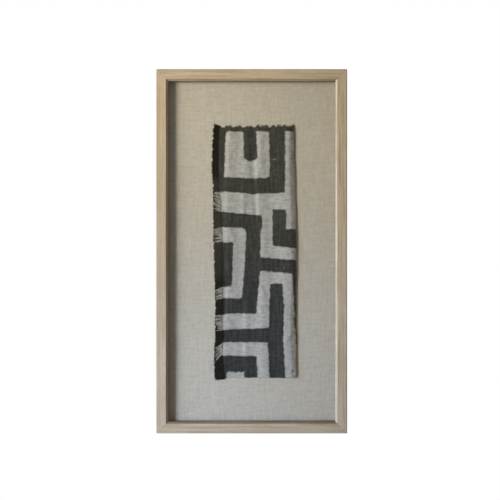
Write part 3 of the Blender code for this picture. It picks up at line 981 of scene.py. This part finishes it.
def paint_beside(z):
    """Signed distance to the paint, a little inside the sheet's left edge at height z."""
    return paint_distance(outline_at(z, "left_edge") + PAINT_INSIDE, z)


def left_strip():
    """Points and quads of the strip, which thins towards the yarns' ends."""
    z = np.linspace(LEFT_TOP, LEFT_BOTTOM, STRIP_ROWS)[:, None]
    s = np.linspace(0, 1, STRIP_COLUMNS)[None, :]
    edge = outline_at(z, "left_edge")
    inner = edge + STRIP_TUCK
    x = inner + (ends_at(z) + STRIP_SHORT - inner) * s
    return closed_sheet(x, sinking(edge, z, s), z, STRIP_THICKNESS * (1 - 0.75 * s**3))


strip_points, strip_quads = left_strip()
strip = new_piece("left_strip", strip_points, strip_quads, felt_finish)
strip_x, _, strip_z = strip_points.T
store(strip, "soak", soak_at(strip_x, strip_z))
clear_of_paint = np.clip(paint_beside(strip_z) / BARE_WITHIN, 0, 1)
from_sheet = outline_at(strip_z, "left_edge") - strip_x
store(strip, "bare", clear_of_paint * np.clip(BARE_ROOT - from_sheet / BARE_LENGTH, 0, 1))
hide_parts("fringe_left")

# %% [markdown]
# Each dark yarn leaves the sheet at a root of its own and drifts to the nearest gathering point.
# Beside a pale band the paint has only half covered them, and least at their roots.

# %% The yarns of the left edge
LEFT_YARNS = 500
ROOT_INSIDE = 1.0
ROOT_MARGIN = 0.8
IN_PAINT, CLEAN = -6.0, 6.0
HALF_CLEAN, CLEANER_ROOT = -1.5, 1.8
ENDS_SCATTER = 0.8
SWAY, SWAY_TURNS = 0.35, 1.3
ROOT_SUNK, TIP_THINNER = 0.55, 0.55
ON_STRIP = 0.3


def left_yarns(root_z, points, gather, radius, above, slant_spread, shortest):
    """Paths and radii of yarns that run from root_z at the sheet to the frayed ends, or at least
    the shortest share of the way.

    x goes evenly from the sheet's edge to the end. z leaves the root, drifts to the nearest of the
    points and sinks by the slant. y keeps above the strip and sinks to the linen where it ends.
    """
    count = len(root_z)
    z0 = root_z[:, None]
    s = np.linspace(0, 1, STATIONS)[None, :]
    edge = outline_at(z0, "left_edge")
    inner = edge + ROOT_INSIDE
    ends = ends_at(z0) + rng.normal(0, ENDS_SCATTER, (count, 1))
    reach = (inner - ends) * rng.uniform(shortest, 1.0, (count, 1))
    slant = outline_at(z0, "slant") + rng.uniform(-slant_spread, slant_spread, (count, 1))
    pull = (nearest(points, root_z)[:, None] - z0) * gather
    sway = (SWAY + above) * np.sin(TURN * (s * SWAY_TURNS + rng.uniform(0, 1, (count, 1)))) * s
    z = z0 + pull * s**1.4 - slant * reach * s**1.3 + sway
    over_strip = STRIP_THICKNESS * (1 - 0.9 * s**4) + above * (1 - s**5)
    rooted = 1 - ROOT_SUNK * (1 - s) ** 12
    y = sinking(edge, z0, s) - over_strip * rooted - ON_STRIP * radius
    thickness = radius * (1 - TIP_THINNER * s**3) * rng.uniform(0.8, 1.2, (count, 1))
    return np.stack([inner - reach * s, y, z], axis=2), thickness


dark_roots = np.linspace(LEFT_TOP - ROOT_MARGIN, LEFT_BOTTOM + ROOT_MARGIN, LEFT_YARNS)
dark_roots += rng.uniform(-0.3, 0.3, LEFT_YARNS)
dark_paths, dark_radii = left_yarns(
    dark_roots, left_points, gather=0.45, radius=0.62, above=0.0, slant_spread=0.12, shortest=0.95
)
dark_soak = soak_at(outline_at(dark_roots, "left_edge"), dark_roots) * rng.uniform(0.75, 1.0, LEFT_YARNS)
half_clean = HALF_CLEAN + CLEANER_ROOT * (1 - np.linspace(0, 1, STATIONS)) ** 2
dark_paint = np.where(paint_beside(dark_roots)[:, None] < 1.0, IN_PAINT, half_clean)
dark_yarns = yarn_piece(
    "left_yarns_dark", dark_paths, dark_radii, dark_paint, dark_soak, yarn_finish
)

# %% [markdown]
# Beside the pale bands some of the loose yarns stayed clean. They lie on top of the dark ones,
# cross each other here and there, and hang down where they are longest.

# %% The clean yarns between the bars
THREADS = 290
THREAD_SPACING = 5.6

thread_roots = np.linspace(LEFT_BOTTOM, LEFT_TOP, THREADS) + rng.uniform(-1.1, 1.1, THREADS)
thread_roots = thread_roots[paint_beside(thread_roots) > 0.5]
thread_points = point_places(LEFT_BOTTOM, LEFT_TOP, THREAD_SPACING)
pale_paths, pale_radii = left_yarns(
    thread_roots, thread_points, gather=0.62, radius=0.66, above=0.75, slant_spread=0.24, shortest=0.70
)
clean = np.full(len(thread_roots), CLEAN)
pale_yarns = yarn_piece(
    "left_yarns_pale", pale_paths, pale_radii, clean, 0 * clean, yarn_finish
)

# %% [markdown]
# ## The top edge
#
# Along the top the lengthwise yarns stand up in tufts, a little higher towards the right. They are
# bunched in the same way, with pieces of yarn missing between two tufts. Those at the left corner
# are soaked black, and the others hardly at all.

# %% The strip and the tufts above the sheet
TUFT_SPACING, TUFT_SCATTER = 13.0, 0.36
TUFT_LOW, TUFT_RISE, TUFT_CLIMB = 3.7, (2.8, 6.6), 1.5
TOP_YARNS = 165
TOP_STRIP_COLUMNS, TOP_STRIP_ROWS = 140, 5
TOP_STRIP_TUCK, TOP_STRIP_HEIGHT, TOP_STRIP_THICKNESS = 0.6, 3.0, 1.2
TOP_YARN_RADIUS = 0.68
TUFT_GATHER, TUFT_LEAN = 0.6, (1.7, 0.7)
CORNER_TUFT = -86.5

top_left, top_right = float(outline_at(CLOTH_TOP, "left_edge")), float(selvedge_at(CLOTH_TOP))
tuft_places = point_places(top_left + 2, top_right - 2, TUFT_SPACING, TUFT_SCATTER)
tuft_heights = rng.uniform(*TUFT_RISE, len(tuft_places))


def top_strip():
    """Points and quads of the low strip above the sheet. Its upper edge waves a little."""
    s = np.linspace(1, 0, TOP_STRIP_ROWS)[:, None]
    x = np.linspace(top_left, top_right, TOP_STRIP_COLUMNS)[None, :]
    z = CLOTH_TOP - TOP_STRIP_TUCK + (TOP_STRIP_HEIGHT + 0.5 * np.sin(TURN * x / 5.3)) * s
    return closed_sheet(x, sinking(x, CLOTH_TOP, s), z, TOP_STRIP_THICKNESS * (1 - 0.6 * s**2))


def top_yarns():
    """Paths and radii of the yarns that stand up from the sheet's top edge. A yarn is the higher
    the nearer its root is to a tuft's middle, and leans towards it and a little to the right."""
    root = np.linspace(top_left + 0.6, top_right - 0.6, TOP_YARNS) + rng.uniform(-0.3, 0.3, TOP_YARNS)
    tuft = nearest(tuft_places, root)
    off = np.minimum(np.abs(root - tuft) / (TUFT_SPACING / 2), 1.0)
    full = tuft_heights[np.searchsorted(tuft_places, tuft)]
    height = TUFT_LOW + full * (1 - off**2) ** 0.7 + rng.normal(0, 0.5, TOP_YARNS)
    height += TUFT_CLIMB * (root - top_left) / (top_right - top_left)
    s = np.linspace(0, 1, STATIONS)[None, :]
    pull = (tuft - root)[:, None] * TUFT_GATHER + rng.normal(*TUFT_LEAN, (TOP_YARNS, 1))
    x = root[:, None] + pull * s**1.6
    z = CLOTH_TOP - 0.8 + height[:, None] * s
    y = sinking(x, CLOTH_TOP, s) - 0.9 * (1 - 0.5 * s)
    radius = TOP_YARN_RADIUS * (1 - 0.5 * s**3) * rng.uniform(0.7, 1.2, (TOP_YARNS, 1))
    return np.stack([x, y, z], axis=2), radius


top_points, top_quads = top_strip()
strip_above = new_piece("top_strip", top_points, top_quads, felt_finish)
store(strip_above, "soak", np.zeros(len(top_points)))
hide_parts("fringe_top")
tuft_paths, tuft_radii = top_yarns()
at_corner = tuft_paths[:, 0, 0] < CORNER_TUFT
tuft_soak = np.where(at_corner, 1.0, np.clip(rng.normal(0.0, 0.12, TOP_YARNS), 0, 1))
tuft_paint = np.full(TOP_YARNS, IN_PAINT)
tufts = yarn_piece(
    "top_tufts", tuft_paths, tuft_radii, tuft_paint, tuft_soak, tuft_finish
)

# %% [markdown]
# The cloth is a sheet, 196.5 mm by 659 mm as it was cut. It hangs on the linen, and its loose
# edges go along with it.

# %% [markdown]
# ## The linen
#
# The mount is a board covered in plain linen, which the camera sees as a tan field. Flax yarn is
# finer than the cotton and full of slubs, so the same weave group serves, with a smaller pitch and
# long thin streaks over it. Right beside the selvedge a golden tan is painted on the linen. It
# stands in for the warm, soft light in the shadow of the cloth's roll.

# %% Linen over the board
LINEN_DEEP = (0.450, 0.414, 0.347, 1.0)
LINEN_LIGHT = (0.620, 0.570, 0.482, 1.0)
# A painted golden tint: it stands in for warm light in the shadow beside the selvedge.
LINEN_SHADOW_TINT = (0.600, 0.500, 0.360, 1.0)
SHADOW_TINT_AT = 118.0


def shadow_tint_share(place):
    """How much of the painted golden tint shows, which stands in for warm light in the roll's shadow:
    full close to one line down the mount, and fading at its two ends and towards the top."""
    across, height, _ = split(place)
    kept = remap(calc("ABSOLUTE", calc("SUBTRACT", across, SHADOW_TINT_AT)), 1.0, 10.0, 1.0, 0.0)
    kept = times(kept, remap(height, -338.0, -330.0))
    kept = times(kept, remap(height, 320.0, 334.0, 1.0, 0.0))
    return times(kept, remap(height, 140.0, 280.0, 1.0, 0.5))


def build_linen():
    """The mount's material: a fine weave with slubs and slow streaks, on Object coordinates."""
    made, tree, shader = new_material("linen_tan")
    place = millimetres(tree, "XZY")
    woven = use_group(weave, {"Place": place, "Across": 0.85, "Along": 0.9, "Wander": 1.2})
    down = noise(place, 0.9, stretch=(1.0, 0.03, 0.0))
    over = noise(place, 0.9, stretch=(0.03, 1.0, 0.0), offset=(70.0, 0.0, 0.0))
    slub = calc("MAXIMUM", remap(down, 0.56, 0.72), remap(over, 0.56, 0.72))
    wide_down = noise(place, 0.22, stretch=(1.0, 0.07, 0.0), detail=3.0, offset=(0.0, 20.0, 0.0))
    wide_over = noise(place, 0.22, stretch=(0.07, 1.0, 0.0), detail=3.0, offset=(55.0, 0.0, 0.0))
    mottle = noise(place, 0.12, detail=4.0)
    tone = weigh(
        (woven["Tone"], 0.28), (slub, 0.14), (wide_down, 0.22), (wide_over, 0.16), (mottle, 0.20)
    )
    colour = blend(remap(tone, 0.30, 0.60), LINEN_DEEP, LINEN_LIGHT)
    # Painted golden tint for the warm light in the shadow beside the selvedge.
    colour = blend(shadow_tint_share(place), colour, LINEN_SHADOW_TINT)
    # Painted shade in the hollows between the yarns.
    colour = darken(colour, remap(woven["Gap"], 0.0, 1.0, 1.0, 0.72))
    relief = weigh((woven["Height"], 1.0), (slub, 0.7), (wide_down, 0.8), (wide_over, 0.8))
    roughness = remap(woven["Height"], 0.0, 1.0, 0.95, 0.82)
    surface(shader, colour, roughness, relief, depth=0.22, specular=0.25)
    return made


def dress(name, finish):
    """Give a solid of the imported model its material."""
    mesh = nodes[name].data
    mesh.materials.clear()
    mesh.materials.append(finish)
    print(name, "is finished in", finish.name)


dress("linen_mount", build_linen())

# %% [markdown]
# ## Oak
#
# A board shows a tree's growth rings cut lengthwise. So the grain is a distance from the tree's
# middle, which lies well outside the rail, bent a little along its length, and cut into rings.
# Long open pores crowd in the early part of each ring, and here and there a pale fleck or a long
# brown streak shows. The oak group takes its place with the third axis along the grain, so the
# upright rails and the level ones share it with their axes put in a different order.

# %% The oak group
EARLY_WOOD, LATE_WOOD = 0.45, 0.88


def build_oak():
    """The group oak_grain: place in millimetres, grain along Z, to four masks."""
    inputs = {"Place": None, "Ring": 2.6, "Bend": 9.0}
    tree, given, put = new_group("oak_grain", inputs, ("Ring", "Pore", "Fleck", "Streak"))
    place = given["Place"]
    slow = calc("SUBTRACT", noise(place, 0.02, stretch=(1.0, 1.0, 0.22)), 0.5)
    across, deep, _ = split(place)
    middle = add(tree, "VectorMath", {0: join(across, deep)}, operation="LENGTH").outputs["Value"]
    radius = calc("ADD", middle, times(slow, given["Bend"]))
    phase = calc("FRACT", calc("DIVIDE", radius, given["Ring"]))
    ring = calc("MAXIMUM", remap(phase, 0.0, EARLY_WOOD, 1.0, 0.0), remap(phase, LATE_WOOD, 1.0))
    pores = remap(noise(place, 1.6, stretch=(1.0, 1.0, 0.035), detail=1.0), 0.56, 0.66)
    fleck = noise(place, 0.5, stretch=(1.0, 0.3, 0.12), detail=1.0, offset=(31.0, 0.0, 0.0))
    streak = noise(place, 0.34, stretch=(1.0, 1.0, 0.022), offset=(0.0, 17.0, 0.0))
    feed(put, {"Ring": ring, "Pore": times(pores, calc("MULTIPLY_ADD", ring, 0.75, 0.25))})
    feed(put, {"Fleck": remap(fleck, 0.64, 0.74), "Streak": remap(streak, 0.40, 0.66)})
    return tree


oak = build_oak()
print("oak_grain has", len(oak.nodes), "nodes")

# %% [markdown]
# Each rail is cut from another place in the tree and has its own shade. Its inner bevel, which
# leans towards the glass, gets painted light and shade: paler on the right rail, which faces the
# light, and darker on the others, most on the bottom one. Painted shade darkens each rail's outer
# edge, and the spacers inside the box are darker copies of the oak, painted shade for the dim
# light there, darkest at the bottom.

# %% Oak materials for upright and level pieces
OAK_PALE = (0.552, 0.466, 0.349, 1.0)
OAK_GRAIN = (0.410, 0.318, 0.213, 1.0)
OAK_PORE = (0.275, 0.196, 0.117, 1.0)
OAK_RAY = (0.630, 0.560, 0.440, 1.0)
OAK_STREAK = (0.365, 0.277, 0.180, 1.0)
# Painted shade along the rails' outer edges.
OUTER_EDGE_SHADE = (0.70, 0.66, 0.60, 1.0)
FACE_Y = cad_box[0].y / MM
HALF_ACROSS = {"XYZ": cad_box[1].x / MM, "ZYX": cad_box[1].z / MM}
BEVEL_FROM, OUTER_EDGE_SHADE_WIDTH = 12, 3
TREE_MIDDLE_FROM_SPACER = (30.0, 50.0, 90.0)
# The bevel column is painted light and shade on each rail's inner bevel.
RAILS = named(("name", "order", "middle", "shade", "bevel_light_and_shade", "streaks"), (
    ("left", "XYZ", (75.0, 60.0, 0.0), 0.99, (0.80, 0.76, 0.70, 1.0), 0.40),
    ("right", "XYZ", (75.0, 60.0, 0.0), 1.08, (1.24, 1.36, 1.58, 1.0), 0.75),
    ("top", "ZYX", (90.0, 45.0, 0.0), 1.03, (0.85, 0.82, 0.78, 1.0), 0.75),
    ("bottom", "ZYX", (90.0, 45.0, 0.0), 1.00, (0.52, 0.50, 0.47, 1.0), 0.75),
))
# The spacers' shade values are painted shade for the dim inside of the box, darkest at the bottom.
SPACERS = named(("name", "order", "shade"), (
    ("left", "XYZ", 0.66), ("right", "XYZ", 0.72), ("top", "ZYX", 0.66), ("bottom", "ZYX", 0.34)))


def build_oak_material(kind, name, order, middle, shade, bevel_light_and_shade=None, streaks=0.5):
    """Oak whose grain follows the last of the three axes in order. middle is how far the tree's
    middle lies off. shade multiplies the colour of the whole, and on the spacers it is painted shade.
    On the rails the bevel factor multiplies the sloped inner edge with painted light and shade, and
    painted shade darkens the outer edge."""
    made, tree, shader = new_material(kind + name)
    place = millimetres(tree, order)
    moved = add(tree, "VectorMath", {0: place, 1: middle}, operation="ADD").outputs[0]
    grain = use_group(oak, {"Place": moved})
    tone = noise(place, 0.03, stretch=(1.0, 1.0, 0.3))
    colour = blend(times(grain["Ring"], 0.55), OAK_PALE, OAK_GRAIN)
    colour = blend(remap(tone, 0.35, 0.7, 0.0, 0.35), colour, OAK_GRAIN)
    colour = blend(times(grain["Streak"], streaks), colour, OAK_STREAK)
    colour = blend(times(grain["Fleck"], 0.35), colour, OAK_RAY)
    colour = blend(times(grain["Pore"], 0.7), colour, OAK_PORE)
    colour = blend(1.0, colour, grey(shade), "MULTIPLY")
    if bevel_light_and_shade:
        # Painted light and shade on the inner bevel, which leans towards the glass.
        across, deep, _ = split(place)
        across = calc("ABSOLUTE", across)
        sunk = remap(deep, FACE_Y + 0.3, FACE_Y + 1.2)
        inside = calc("LESS_THAN", across, HALF_ACROSS[order] - BEVEL_FROM)
        colour = blend(times(sunk, inside), colour, bevel_light_and_shade, "MULTIPLY")
        # Painted shade along the outer edge.
        edge = remap(across, HALF_ACROSS[order] - OUTER_EDGE_SHADE_WIDTH, HALF_ACROSS[order])
        colour = blend(edge, colour, OUTER_EDGE_SHADE, "MULTIPLY")
    roughness = remap(grain["Pore"], 0.0, 1.0, 0.55, 0.85)
    surface(shader, colour, roughness, grain["Pore"], specular=0.35, sunk=True)
    return made


for rail in RAILS:
    dress("rail_" + rail["name"], build_oak_material("oak_", **rail))
for spacer in SPACERS:
    finish = build_oak_material("oak_shaded_", middle=TREE_MIDDLE_FROM_SPACER, **spacer)
    dress("spacer_" + spacer["name"], finish)

# %% [markdown]
# ## Glass
#
# Picture glass is clear and smooth, so it is a Principled shader with full transmission. Real
# glass throws hardly any shadow, while a renderer's refracting slab throws a dark one. So the shader
# is mixed with a transparent one for two kinds of rays: those that test whether a lamp is in sight,
# and those that matt surfaces scatter. Both then agree, and no light is counted twice.

# %% Picture glass
def build_glass():
    """Clear glass with a trace of haze from wiping."""
    made, tree, shader = new_material("picture_glass")
    wiped = noise(millimetres(tree), 0.01, stretch=(1.0, 1.0, 0.4), detail=3.0)
    feed(shader.inputs, {"Transmission Weight": 1.0, "IOR": 1.5, "Base Color": (0.985, 0.995, 0.990, 1.0)})
    feed(shader.inputs, {"Roughness": remap(wiped, 0.3, 0.8, 0.0, 0.012)})
    shown = shader.outputs[0]
    clear = add(tree, "BsdfTransparent").outputs[0]
    rays = add(tree, "LightPath").outputs
    for kind in ("Is Diffuse Ray", "Is Shadow Ray"):
        shown = add(tree, "MixShader", {0: rays[kind], 1: shown, 2: clear}).outputs[0]
    feed(tree.nodes["Material Output"].inputs, {"Surface": shown})
    return made


dress("glass", build_glass())

# %% [markdown]
# ## The back board
#
# Nobody sees the back once the frame hangs, so it is plain hardboard: pressed brown fibre, smooth
# with a fine mottle.

# %% Hardboard
BOARD_DEEP, BOARD_LIGHT = (0.20, 0.125, 0.07, 1.0), (0.33, 0.225, 0.14, 1.0)


def build_hardboard():
    """Pressed fibre: fine short marks in two browns."""
    made, tree, shader = new_material("hardboard")
    place = millimetres(tree)
    fibre = noise(place, 0.9, stretch=(1.0, 1.0, 0.5), detail=4.0)
    mixed = calc("ADD", times(fibre, 0.7), times(noise(place, 0.02), 0.3))
    colour = blend(remap(mixed, 0.35, 0.65), BOARD_DEEP, BOARD_LIGHT)
    surface(shader, colour, remap(fibre, 0.3, 0.7, 0.6, 0.8), fibre, strength=0.3, depth=0.15)
    return made


dress("back_board", build_hardboard())

# %% [markdown]
# ## Light
#
# Soft light comes from the left and a little above. It is warm over the upper half and cool over
# the lower half, so each half has two aimed spots with wide bulbs, and a fifth one behind lights
# the back. The glass would mirror such bulbs as bright discs, so they are hidden from rays that it
# mirrors or lets through. The surroundings are white to the camera alone. They give a weak even
# light, and the glass mirrors them dimmer still.

# %% Lamps and surroundings
WARM, COOL = (1.0, 0.94, 0.80), (0.86, 0.98, 1.22)
UPPER, LOWER = (-0.2, 0.0, 0.45), (-0.2, 0.0, -0.50)
LAMPS = named(("name", "place", "target", "colour", "power", "radius"), (
    ("lamp_warm", (-1.65, -1.48, 0.55), UPPER, WARM, 191.0, 0.40),
    ("lamp_cool", (-1.65, -1.48, -0.40), LOWER, COOL, 191.0, 0.40),
    ("lamp_warm_side", (-1.98, -0.95, 0.55), UPPER, WARM, 100.0, 0.70),
    ("lamp_cool_side", (-1.98, -0.95, -0.40), LOWER, COOL, 100.0, 0.70),
    ("lamp_behind", (0.0, 2.3, 0.8), (0.0, 0.0, 0.0), (1.0, 0.96, 0.90), 90.0, 0.50),
))
CONE = 38
AMBIENT_COLOUR = (1.0, 0.95, 0.88, 1.0)
AMBIENT = 0.26
MIRRORED = 0.08


def soft_lamp(name, place, target, colour, power, radius):
    """A spot with a wide bulb, turned to look at its target."""
    data = bpy.data.lights.new(name, "SPOT")
    data.energy = power
    data.color = colour
    data.shadow_soft_size = radius
    data.spot_size = math.radians(CONE)
    data.spot_blend = 1.0
    lamp = bpy.data.objects.new(name, data)
    lamp.location = place
    lamp.visible_glossy = False
    lamp.visible_transmission = False
    looks = [b - a for a, b in zip(place, target)]
    tilt = math.atan2(math.hypot(looks[0], looks[1]), -looks[2])
    lamp.rotation_euler = (tilt, 0.0, math.atan2(looks[1], looks[0]) - math.pi / 2)
    bpy.context.scene.collection.objects.link(lamp)


for lamp in LAMPS:
    soft_lamp(**lamp)

surroundings = bpy.data.worlds.new("surroundings")
surroundings.use_nodes = True
bpy.context.scene.world = surroundings
sky = surroundings.node_tree
sky.nodes.clear()
rays = add(sky, "LightPath").outputs
seen = add(sky, "Background", {"Color": grey(1.0), "Strength": 1.0}).outputs[0]
strength = calc("MULTIPLY_ADD", rays["Is Glossy Ray"], MIRRORED - AMBIENT, AMBIENT)
ambient = add(sky, "Background", {"Color": AMBIENT_COLOUR, "Strength": strength}).outputs[0]
around = add(sky, "MixShader", {0: rays["Is Camera Ray"], 1: ambient, 2: seen}).outputs[0]
add(sky, "OutputWorld", {"Surface": around})
bpy.context.scene.view_settings.view_transform = "Standard"
print("lamps:", ", ".join(lamp["name"] for lamp in LAMPS))

# %% [markdown]
# The floor is a plain pale sheet, a little below the frame. It isn't part of the object, and
# neither is anything else on the stage.

# %% Floor
FLOOR_HALF, FLOOR_HEIGHT = 1700, -1250


def build_floor():
    """A pale matt floor with a faint mottle."""
    made, tree, shader = new_material("floor_pale")
    cloud = noise(millimetres(tree), 0.004, detail=4.0)
    colour = blend(remap(cloud, 0.3, 0.7), grey(0.74), grey(0.80))
    surface(shader, colour, remap(cloud, 0.3, 0.7, 0.75, 0.9))
    return made


across = np.linspace(-FLOOR_HALF, FLOOR_HALF, 3)
floor_x, floor_y = (side.ravel() for side in np.meshgrid(across, across))
floor_points = np.stack([floor_x, floor_y, np.full(floor_x.size, FLOOR_HEIGHT)], axis=1)
floor = new_object("floor", floor_points, grid_quads(3, 3), build_floor())
floor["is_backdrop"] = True
print("the floor lies", -FLOOR_HEIGHT, "mm below the frame's middle")

# %% [markdown]
# ## Sizes
#
# The dressed part has to stay as big as its solids, so both boxes are compared here.

# %% Both boxes
visual_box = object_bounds()
differences = [max(abs(a - b) for a, b in zip(p, q)) / MM for p, q in zip(cad_box, visual_box)]
print("new boxes differ by", [round(d, 2) for d in differences], "mm")
